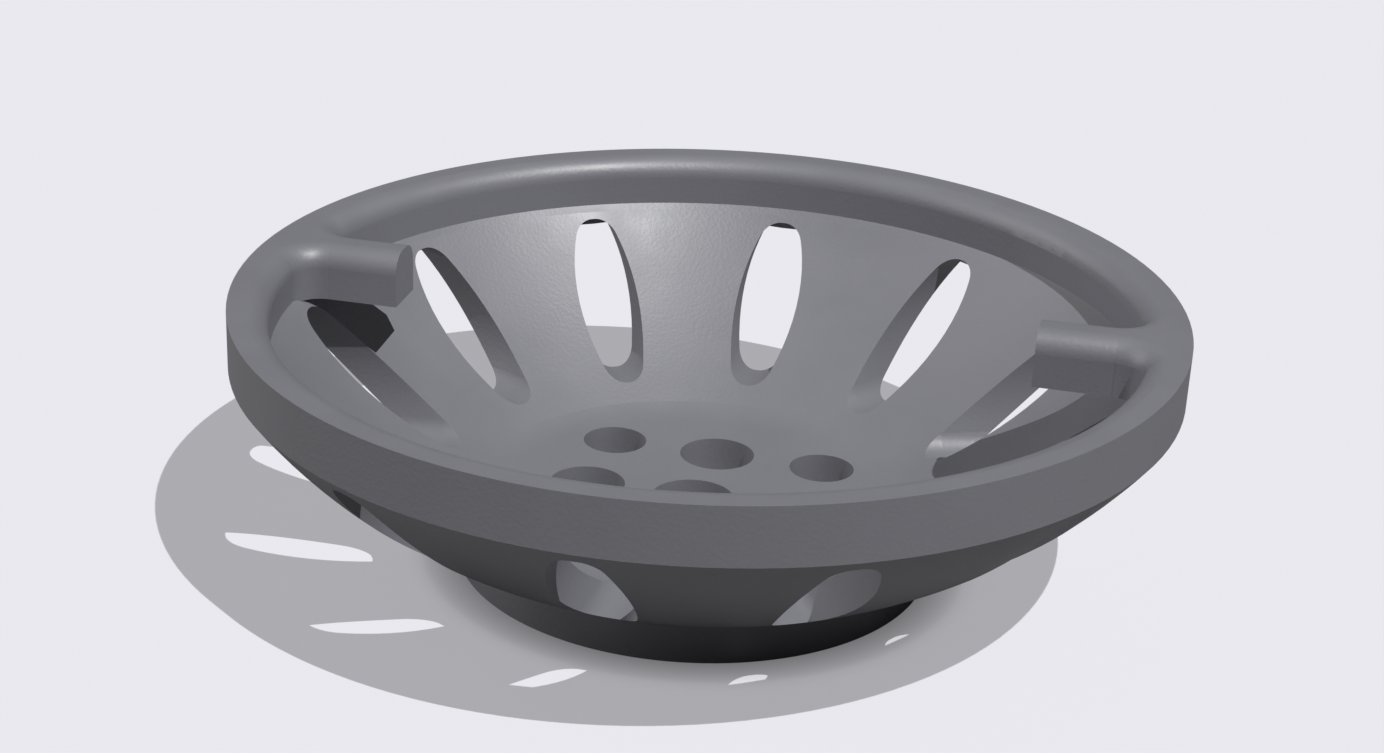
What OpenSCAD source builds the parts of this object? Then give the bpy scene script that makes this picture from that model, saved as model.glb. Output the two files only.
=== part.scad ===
// Drain strainer: a slotted bowl under an upright rim with two finger lugs, standing on a foot ring.
// +Z is up, the origin is on the ground at the centre, and the lugs lie along X.

/* [Overall] */
// Height from the ground to the top of the rim
total_h = 24.84; // [22:0.1:30]

/* [Rim] */
// Outside diameter of the rim
rim_d = 84; // [78:0.5:92]
// Thickness of the rim
rim_wall = 3.66; // [3:0.05:4.4]
// Height of the rim's outer face
rim_outer_h = 5.16; // [5:0.05:6]
// Height of the rim's inner face
rim_inner_h = 4.6; // [4:0.05:4.9]
// Radius of the rounded inner edge of the rim and of the lugs' long top edges
edge_round = 1.9; // [1:0.1:2.2]

/* [Finger lugs] */
// Width of a lug
lug_w = 4.9; // [4.6:0.1:7]
// How far a lug's underside lies above the rim's lower edge
lug_rise = 0.17; // [0.1:0.01:1]
// How far a lug reaches in from the rim's inner face
lug_length = 9.3; // [7:0.1:12]
// How far both lugs lie to one side of the centre line
lug_offset = 3.44; // [0:0.1:5]
// Radius of the upright fillets where a lug runs into the rim
lug_fillet = 2.5; // [1.5:0.1:3.5]

/* [Bowl] */
// Height of the floor's upper face above the ground
floor_z = 5.22; // [4.8:0.05:6.5]
// Thickness of the floor
floor_t = 3.65; // [2:0.05:4]
// Diameter at which the inner wall meets the floor
floor_d = 38; // [36:0.5:40]
// Radius of the soft blend between floor and wall
floor_blend = 6; // [4:0.5:14]
// Distance from the centre line back to the centre of the arc of the wall's inner face
inner_arc_back = 12; // [0:1:20]
// Distance from the centre line out to the centre of the arc of the wall's outer face
outer_arc_x = 5; // [2:0.5:8]

/* [Slots] */
// Number of upright slots
slot_n = 12; // [8:1:14]
// Width of a slot at the wall's inner face
slot_w = 6; // [4.6:0.1:6.6]
// Distance from the slots' tops up to the rim's lower edge
slot_top_gap = 0.28; // [0.2:0.02:3]
// Distance from the slots' lower ends down to the level of the floor
slot_low_gap = 1.14; // [1:0.02:4]
// Radius of a slot's rounded ends
slot_end_r = 2.2; // [1.4:0.05:2.25]
// Downward slope of a slot towards the outside, in degrees
slot_tilt = 4.4; // [3:0.2:6]
// How far each side of a slot turns outwards from straight, in degrees
slot_flare = 4; // [2:0.5:8]
// Thickness of the skin that the rear slots leave at their tops, under the wall's outer face
rear_skin = 1.4; // [0.6:0.05:1.6]

/* [Floor holes] */
// Distance between neighbouring holes
hole_pitch = 10; // [8.5:0.1:10.3]
// Diameter of the hole at the centre
centre_hole_d = 7.6; // [4:0.1:8]
// Diameter of the four holes beside it
edge_hole_d = 7; // [4:0.1:7.5]
// Diameter of the four holes at the corners
corner_hole_d = 6; // [3:0.1:6.2]

/* [Foot] */
// Outside diameter of the foot ring
foot_d = 43.1; // [42:0.1:48]
// Thickness of the foot ring
foot_wall = 3.6; // [2:0.1:3.8]
// Height of the foot ring's outer face
foot_h = 3.93; // [3.5:0.05:4.6]

/* [Hidden] */
plastic = [0.475, 0.475, 0.5];
round_fn = 96;

// How far cutting shapes run past what they cut, and joined shapes into each other
overrun = 0.4;
// How far the lugs' fillets stand proud of the faces that they run into
fillet_proud = 0.02;

rim_r = rim_d / 2;
rim_inner_r = rim_r - rim_wall;
rim_edge_z = total_h - rim_outer_h;
rim_inner_z = total_h - rim_inner_h;

foot_r = foot_d / 2;
floor_r = floor_d / 2;
underside_z = floor_z - floor_t;

// Height of the centre of an arc through the section points p and q, with that centre at x
function arc_centre_z(x, p, q) =
    (pow(p.x - x, 2) - pow(q.x - x, 2) + pow(p.y, 2) - pow(q.y, 2))
    / (2 * (p.y - q.y));

outer_arc_z = arc_centre_z(outer_arc_x, [rim_r, rim_edge_z], [foot_r, foot_h]);
outer_arc_r = norm([rim_r - outer_arc_x, outer_arc_z - rim_edge_z]);

inner_arc_z = arc_centre_z(-inner_arc_back, [rim_inner_r, rim_inner_z], [floor_r, floor_z]);
inner_arc_r = norm([rim_inner_r + inner_arc_back, inner_arc_z - rim_inner_z]);

// Radius of the wall's outer and inner faces at height z
function outer_r_at(z) = outer_arc_x + sqrt(pow(outer_arc_r, 2) - pow(outer_arc_z - z, 2));
function inner_r_at(z) = sqrt(pow(inner_arc_r, 2) - pow(inner_arc_z - z, 2)) - inner_arc_back;

// Centre of the blend's arc, which touches the floor and the inner face's arc
blend_z = floor_z + floor_blend;
blend_x = sqrt(pow(inner_arc_r - floor_blend, 2) - pow(inner_arc_z - blend_z, 2)) - inner_arc_back;

lug_tip_x = rim_inner_r - lug_length;
lug_root_x = rim_inner_r + edge_round + overrun;
lug_h = rim_outer_h - lug_rise;
lug_z = total_h - lug_h;
lug_near_y = lug_offset - lug_w / 2;
lug_far_y = lug_offset + lug_w / 2;

// Height of a slot, and of its middle above the ground
slot_h = rim_edge_z - slot_top_gap - slot_low_gap - floor_z;
slot_z = floor_z + slot_low_gap + slot_h / 2;
slot_mid_r = (outer_r_at(slot_z) + inner_r_at(slot_z)) / 2;
slot_side_r = (pow(slot_h / 2 - slot_end_r, 2) + pow(slot_w / 2, 2) - pow(slot_end_r, 2))
    / (slot_w - 2 * slot_end_r);
slot_join_z = slot_side_r * (slot_h / 2 - slot_end_r) / (slot_side_r - slot_end_r);
slot_top_r = outer_r_at(slot_z + slot_h / 2);

// Lower end of the line about which a slot flares, and the line's lean from upright in degrees
flare_foot = [inner_r_at(slot_z - slot_h / 2), 0, slot_z - slot_h / 2];
flare_lean = atan2(inner_r_at(slot_z + slot_h / 2) - flare_foot.x, slot_h);
// Share of the radius that a slot lies behind the lugs' line to count as a rear slot
rear_side_share = 0.4;

// Square corner with its inside rounded away, to cut from a section's upper left corner
module round_over(x, z, r) {
    difference() {
        translate([x - overrun, z - r]) square([r + overrun, r + overrun]);
        translate([x + r, z - r]) circle(r = r, $fn = round_fn);
    }
}

// Disc whose edge is the inner face of the bowl's wall
module inner_arc_disc() {
    translate([-inner_arc_back, inner_arc_z]) circle(r = inner_arc_r, $fn = round_fn);
}

// Disc whose edge is the outer face of the bowl's wall
module outer_arc_disc() {
    translate([outer_arc_x, outer_arc_z]) circle(r = outer_arc_r, $fn = round_fn);
}

// Section of the upright band, which takes over from the bowl's wall at the rim's lower edge
module band_section() {
    difference() {
        translate([rim_inner_r, rim_inner_z]) square([rim_wall, rim_inner_h]);
        round_over(rim_inner_r, total_h, edge_round);
    }
    difference() {
        translate([floor_r, rim_edge_z]) square([rim_r - floor_r, rim_inner_z - rim_edge_z]);
        inner_arc_disc();
    }
}

// Section of a lug across its length, with both top edges rounded
module lug_section() {
    difference() {
        translate([-lug_w / 2, lug_z]) square([lug_w, lug_h]);
        round_over(-lug_w / 2, total_h, edge_round);
        mirror([1, 0]) round_over(-lug_w / 2, total_h, edge_round);
    }
}

module lug_bar() {
    translate([lug_tip_x, lug_offset, 0])
        rotate([90, 0, 90])
            linear_extrude(height = lug_root_x - lug_tip_x)
                lug_section();
}

// Fillet between the band and the lug's side at height y, on the side that dir points to
module lug_web(side_y, dir) {
    centre_y = side_y + dir * lug_fillet;
    centre_r = rim_inner_r - lug_fillet;
    centre_x = sqrt(pow(centre_r, 2) - pow(centre_y, 2));
    reach = lug_fillet + edge_round + overrun / 2;
    toward_rim = (centre_r + reach) / centre_r;
    lug_y = centre_y - dir * reach;
    difference() {
        translate([0, 0, lug_z])
            linear_extrude(height = lug_h)
                polygon([
                    [centre_x, centre_y],
                    [centre_x, lug_y],
                    [lug_root_x, lug_y],
                    [centre_x * toward_rim, centre_y * toward_rim]
                ]);
        translate([centre_x, centre_y, 0])
            rotate_extrude($fn = round_fn)
                fillet_void_section();
    }
}

// Space beside a fillet: a cylinder that flares over the rounded top edge
module fillet_void_section() {
    void_r = lug_fillet - fillet_proud;
    translate([0, lug_z - overrun]) square([void_r, lug_h + 2 * overrun]);
    difference() {
        translate([0, total_h - edge_round])
            square([void_r + edge_round, edge_round + overrun]);
        translate([void_r + edge_round, total_h - edge_round])
            circle(r = edge_round, $fn = round_fn);
    }
}

module finger_lug() {
    lug_bar();
    lug_web(lug_far_y, 1);
    lug_web(lug_near_y, -1);
}

module rim_ring() {
    color(plastic)
        union() {
            rotate_extrude($fn = round_fn) band_section();
            finger_lug();
            mirror([1, 0, 0]) finger_lug();
        }
}

// Section of the space inside the bowl, with the soft blend at the floor's edge
module bowl_space_section() {
    difference() {
        intersection() {
            inner_arc_disc();
            translate([0, floor_z]) square([rim_r, total_h]);
        }
        difference() {
            translate([blend_x, floor_z - overrun]) square([floor_blend, blend_foot_h()]);
            translate([blend_x, blend_z]) circle(r = floor_blend, $fn = round_fn);
        }
    }
}

// Height of the point where the blend's arc touches the inner wall, above the blend's cutting square
function blend_foot_h() =
    inner_arc_z - inner_arc_r * (inner_arc_z - blend_z) / (inner_arc_r - floor_blend)
    - floor_z + overrun;

module bowl_section() {
    difference() {
        intersection() {
            outer_arc_disc();
            translate([0, underside_z]) square([rim_r, rim_edge_z - underside_z]);
        }
        bowl_space_section();
    }
}

module bowl_shell() {
    rotate_extrude($fn = round_fn) bowl_section();
}

// Long oval of four arcs: two side arcs that run smoothly into the rounded ends
module slot_outline() {
    side_x = slot_side_r - slot_w / 2;
    end_z = slot_h / 2 - slot_end_r;
    intersection() {
        translate([side_x, 0]) circle(r = slot_side_r, $fn = round_fn);
        translate([-side_x, 0]) circle(r = slot_side_r, $fn = round_fn);
        translate([-slot_w, -slot_join_z]) square([2 * slot_w, 2 * slot_join_z]);
    }
    translate([0, end_z]) circle(r = slot_end_r, $fn = round_fn);
    translate([0, -end_z]) circle(r = slot_end_r, $fn = round_fn);
}

// Straight cutter along a slot, from inside the bowl outwards, with the section that is given to it
module along_slot(run) {
    translate([slot_mid_r, 0, slot_z])
        rotate([0, slot_tilt, 0])
            translate([-slot_h, 0, 0])
                rotate([90, 0, 90])
                    linear_extrude(height = run + slot_h)
                        children();
}

// Two cutters turned either way about a line up the wall's inner face, so that the slot widens outwards.
// They end in a plane, at the given distance from the centre line at the slot's top
module flared_cutter(reach) {
    intersection() {
        for (side = [-1, 1])
            translate(flare_foot)
                rotate([0, flare_lean, 0])
                    rotate([0, 0, side * slot_flare])
                        rotate([0, -flare_lean, 0])
                            translate(-flare_foot)
                                along_slot(rim_r) slot_outline();
        along_slot((reach - slot_mid_r - slot_h / 2 * sin(slot_tilt)) / cos(slot_tilt))
            square([2 * slot_h, 2 * slot_h], center = true);
    }
}

// The slots that lie well to the rear leave a thin skin at their tops
module slots() {
    for (i = [0 : slot_n - 1]) {
        turn = 360 * i / slot_n;
        reach = sin(turn) > rear_side_share ? slot_top_r - rear_skin : rim_r + slot_w;
        rotate([0, 0, turn]) flared_cutter(reach);
    }
}

module floor_holes() {
    for (ix = [-1 : 1], iy = [-1 : 1]) {
        ring = abs(ix) + abs(iy);
        d = ring == 0 ? centre_hole_d : (ring == 1 ? edge_hole_d : corner_hole_d);
        translate([ix * hole_pitch, iy * hole_pitch, underside_z - overrun])
            cylinder(d = d, h = floor_t + floor_blend, $fn = round_fn);
    }
}

module strainer_bowl() {
    color(plastic)
        difference() {
            bowl_shell();
            slots();
            floor_holes();
        }
}

// The foot's upper face follows the bowl's outer arc
module foot_ring() {
    color(plastic)
        rotate_extrude($fn = round_fn)
            difference() {
                translate([foot_r - foot_wall, 0]) square([foot_wall, foot_h + overrun]);
                outer_arc_disc();
            }
}

rim_ring();
strainer_bowl();
foot_ring();
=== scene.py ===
"""Looks of the sink strainer: matte grey moulded plastic, a pale studio floor, lights and the camera.

Everything is in metres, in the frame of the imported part: +Z is up and the lugs lie along X.
"""
import math
import bpy
from mathutils import Matrix, Vector


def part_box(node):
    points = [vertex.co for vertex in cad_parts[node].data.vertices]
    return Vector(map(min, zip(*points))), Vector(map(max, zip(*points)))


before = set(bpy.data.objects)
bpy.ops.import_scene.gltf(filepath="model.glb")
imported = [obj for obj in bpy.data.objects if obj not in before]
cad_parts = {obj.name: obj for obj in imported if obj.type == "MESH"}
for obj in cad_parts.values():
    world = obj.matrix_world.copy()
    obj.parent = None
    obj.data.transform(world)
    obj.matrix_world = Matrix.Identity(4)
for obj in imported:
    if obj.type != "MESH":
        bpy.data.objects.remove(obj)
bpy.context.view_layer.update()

MM = 0.001
PHOTO_W, PHOTO_H = 1384, 753

# The photograph's camera, measured from the middle of the rim's top and turned about Z from the lugs' line
CAMERA_TURN = math.radians(12.2)
CAMERA_RISE = math.radians(21.30)
CAMERA_RIM_RADII = 5.471
LOOK_ASIDE = math.radians(6.39)
LOOK_DOWN = math.radians(24.94)
FOCAL_PX = 2580.5
CENTRE_PX = (432.5, 456.3)
SENSOR_MM = 36.0
NEAR_CLIP = 10 * MM

# Light: a crisp key and two weaker fills. Turn about Z, rise above the floor and spread are in degrees
KEY = {"turn": -37.7, "rise": 58.2, "spread": 0.3, "power": 3.2}
FILLS = {
    "side_fill": {"turn": -175, "rise": 20, "spread": 60, "power": 1.2},
    "back_fill": {"turn": 100, "rise": -10, "spread": 10, "power": 0.7, "glossy": False},
}
SKY_STRENGTH = 0.06

# Floor: what the camera sees of it, how much light it throws back at the object, and how far it
# reaches each way. Close to the object its glow darkens within the reach set here: painted contact shade
FLOOR_GLOW = 0.381
FLOOR_TONE = 0.465
FLOOR_BOUNCE = 0.24
FLOOR_HALF = 3.0
PAINTED_SHADE_REACH = 5 * MM

# Plastic: its colour and gloss, how far and how finely they drift, its grain, and its lighter edges
PLASTIC_GREY = (121, 121, 128)
ROUGHNESS = 0.5
ROUGHNESS_DRIFT = 0.04
SPECULAR = 1.0
TONE_DRIFT = 0.02
DRIFT_SIZE = 12 * MM
DRIFT_DETAIL = 3
GLOSS_SIZE = DRIFT_SIZE / 2
GRAIN_SIZE = 0.35 * MM
GRAIN_DEPTH = 0.008 * MM
FINE_DETAIL = 2
EDGE_WIDTH = 0.15 * MM
EDGE_LIGHTER = 0.05
EDGE_SAMPLES = 4
# Cosine between a sharp edge's bevelled normal and its face, at which the edge is lightest
EDGE_COSINE = 0.7
# Noise values that are spread out to the whole of a wanted range
NOISE_LOW, NOISE_HIGH = 0.3, 0.7
# The plastic of each CAD solid
PLASTIC_OF = {"rim_ring": "rim_plastic", "strainer_bowl": "bowl_plastic", "foot_ring": "foot_plastic"}

rim_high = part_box("rim_ring")[1]
RIM_R = rim_high.x
TOP_Z = rim_high.z


def linear(channel):
    """Linear value of an sRGB channel given in parts of 255."""
    c = channel / 255
    return c / 12.92 if c <= 0.04045 else ((c + 0.055) / 1.055) ** 2.4


def srgb(r, g, b):
    """Linear colour of an sRGB colour given in parts of 255."""
    return (linear(r), linear(g), linear(b), 1.0)


BACKDROP = srgb(233, 232, 238)


def new_tree(owner):
    """Empties the node tree of a material or world, and returns a function that adds a node to it.

    Its first values go to the node's first sockets. Of the named ones, those in small letters are
    settings, and the rest go to the socket of that name.
    """
    owner.use_nodes = True
    tree = owner.node_tree
    tree.nodes.clear()

    def node(kind, *first, **named):
        n = tree.nodes.new("ShaderNode" + kind)
        values = dict(enumerate(first))
        for name, value in named.items():
            if name.islower():
                setattr(n, name, value)
            else:
                values[name.replace("_", " ")] = value
        for key, value in values.items():
            if isinstance(value, bpy.types.NodeSocket):
                tree.links.new(value, n.inputs[key])
            else:
                n.inputs[key].default_value = value
        return n

    return node


# Camera
def photo_camera():
    """Camera at the photograph's place, with a shift because the photograph's frame lies off its axis."""
    cam = bpy.data.objects.new("photo_camera", bpy.data.cameras.new("photo_camera"))
    bpy.context.scene.collection.objects.link(cam)
    turn = Matrix.Rotation(CAMERA_TURN, 3, "Z")
    aim = turn @ Matrix.Rotation(LOOK_ASIDE, 3, "Z")
    forward = aim @ Vector((0, math.cos(LOOK_DOWN), -math.sin(LOOK_DOWN)))
    right = aim @ Vector((1, 0, 0))
    up = right.cross(forward)
    away = Vector((0, -math.cos(CAMERA_RISE), math.sin(CAMERA_RISE))) * CAMERA_RIM_RADII * RIM_R
    pose = Matrix((right, up, -forward)).transposed().to_4x4()
    pose.translation = turn @ away + Vector((0, 0, TOP_Z))
    cam.matrix_world = pose
    cam.data.sensor_width = SENSOR_MM
    cam.data.lens = FOCAL_PX / PHOTO_W * SENSOR_MM
    cam.data.shift_x = (PHOTO_W / 2 - CENTRE_PX[0]) / PHOTO_W
    cam.data.shift_y = (CENTRE_PX[1] - PHOTO_H / 2) / PHOTO_W
    cam.data.clip_start = NEAR_CLIP
    bpy.context.scene.camera = cam


# Light
def sun(name, turn, rise, spread, power, shadow=True, glossy=True):
    """Distant lamp, whose light comes from the given turn and rise. If not glossy, it isn't reflected."""
    lamp = bpy.data.objects.new(name, bpy.data.lights.new(name, "SUN"))
    lamp.data.energy = power
    lamp.data.angle = math.radians(spread)
    lamp.data.use_shadow = shadow
    lamp.visible_glossy = glossy
    turn, rise = math.radians(turn), math.radians(rise)
    toward = Vector((math.cos(turn) * math.cos(rise), math.sin(turn) * math.cos(rise), math.sin(rise)))
    lamp.rotation_euler = toward.to_track_quat("Z", "Y").to_euler()
    bpy.context.scene.collection.objects.link(lamp)
    return lamp


def fill_lights(floor):
    """Adds the fills, which light everything but the floor, so that it keeps one even shadow."""
    unlit = bpy.data.collections.new("not_filled")
    unlit.objects.link(floor)
    unlit.collection_objects[0].light_linking.link_state = "EXCLUDE"
    for name, settings in FILLS.items():
        sun(name, shadow=False, **settings).light_linking.receiver_collection = unlit


def studio_world():
    """Adds dim even light all round, which the camera sees in the floor's colour."""
    world = bpy.data.worlds.new("studio")
    bpy.context.scene.world = world
    node = new_tree(world)
    soft = node("Background", Color=(1, 1, 1, 1), Strength=SKY_STRENGTH)
    shown = node("Background", Color=BACKDROP, Strength=1.0)
    seen = node("LightPath").outputs["Is Camera Ray"]
    mix = node("MixShader", seen, soft.outputs[0], shown.outputs[0])
    node("OutputWorld", mix.outputs[0])


# Floor
def floor_material():
    """Pale floor that keeps the object's shadow: part glow, part diffuse, with painted contact shade that
    darkens the glow close to the object.
    """
    m = bpy.data.materials.new("studio_floor")
    node = new_tree(m)
    tint = [c / BACKDROP[1] for c in BACKDROP[:3]]
    # Painted contact shade: occlusion darkens the floor's glow close to the object
    painted_contact_shade = node("AmbientOcclusion", Distance=PAINTED_SHADE_REACH)
    diffuse = node("BsdfDiffuse", (*[c * FLOOR_TONE for c in tint], 1))
    glow = node("Emission", (*[c * FLOOR_GLOW for c in tint], 1), painted_contact_shade.outputs["AO"])
    shown = node("AddShader", diffuse.outputs[0], glow.outputs[0])
    bounce = node("BsdfDiffuse", (FLOOR_BOUNCE, FLOOR_BOUNCE, FLOOR_BOUNCE, 1))
    seen = node("LightPath").outputs["Is Camera Ray"]
    mix = node("MixShader", seen, bounce.outputs[0], shown.outputs[0])
    node("OutputMaterial", mix.outputs[0])
    return m


def studio_floor():
    mesh = bpy.data.meshes.new("studio_floor")
    corners = [(-1, -1), (1, -1), (1, 1), (-1, 1)]
    mesh.from_pydata([(x * FLOOR_HALF, y * FLOOR_HALF, 0) for x, y in corners], [], [(0, 1, 2, 3)])
    mesh.materials.append(floor_material())
    obj = bpy.data.objects.new("studio_floor", mesh)
    bpy.context.scene.collection.objects.link(obj)
    return obj


# Plastic
def plastic(name, shift):
    """Matte moulded plastic: fine even grain, a slow drift in tone and gloss, slightly lighter edges."""
    m = bpy.data.materials.new(name)
    node = new_tree(m)
    place = node("Mapping", node("TexCoord").outputs["Object"], Location=(shift, shift, 0)).outputs[0]

    def noise(size, detail, low, high):
        """Noise with patches of the given size, spread from low to high."""
        spots = node("TexNoise", Vector=place, Scale=1 / size, Detail=detail)
        return node("MapRange", spots.outputs[0], NOISE_LOW, NOISE_HIGH, low, high).outputs[0]

    soft_edge = node("Bevel", EDGE_WIDTH, samples=EDGE_SAMPLES).outputs[0]
    face = node("NewGeometry").outputs["Normal"]
    bent = node("VectorMath", soft_edge, face, operation="DOT_PRODUCT").outputs["Value"]
    worn = node("MapRange", bent, 1, EDGE_COSINE, 1, 1 + EDGE_LIGHTER).outputs[0]
    drift = noise(DRIFT_SIZE, DRIFT_DETAIL, 1 - TONE_DRIFT, 1 + TONE_DRIFT)
    tone = node("Math", worn, drift, operation="MULTIPLY").outputs[0]
    colour = node("HueSaturation", Value=tone, Color=srgb(*PLASTIC_GREY)).outputs[0]
    gloss = noise(GLOSS_SIZE, FINE_DETAIL, ROUGHNESS - ROUGHNESS_DRIFT, ROUGHNESS + ROUGHNESS_DRIFT)
    grain = node("Bump", Distance=GRAIN_DEPTH, Height=noise(GRAIN_SIZE, FINE_DETAIL, 0, 1)).outputs[0]
    skin = node("BsdfPrincipled", Base_Color=colour, Roughness=gloss, Normal=grain)
    skin.inputs["Specular IOR Level"].default_value = SPECULAR
    node("OutputMaterial", skin.outputs[0])
    return m


def dress_all():
    """Gives each CAD solid its own plastic, with the drift in another place."""
    for i, (name, obj) in enumerate(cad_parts.items()):
        obj.data.materials.clear()
        obj.data.materials.append(plastic(PLASTIC_OF[name], i * DRIFT_SIZE))


photo_camera()
sun("key_light", **KEY)
fill_lights(studio_floor())
studio_world()
dress_all()

bpy.context.scene.view_settings.view_transform = "Standard"
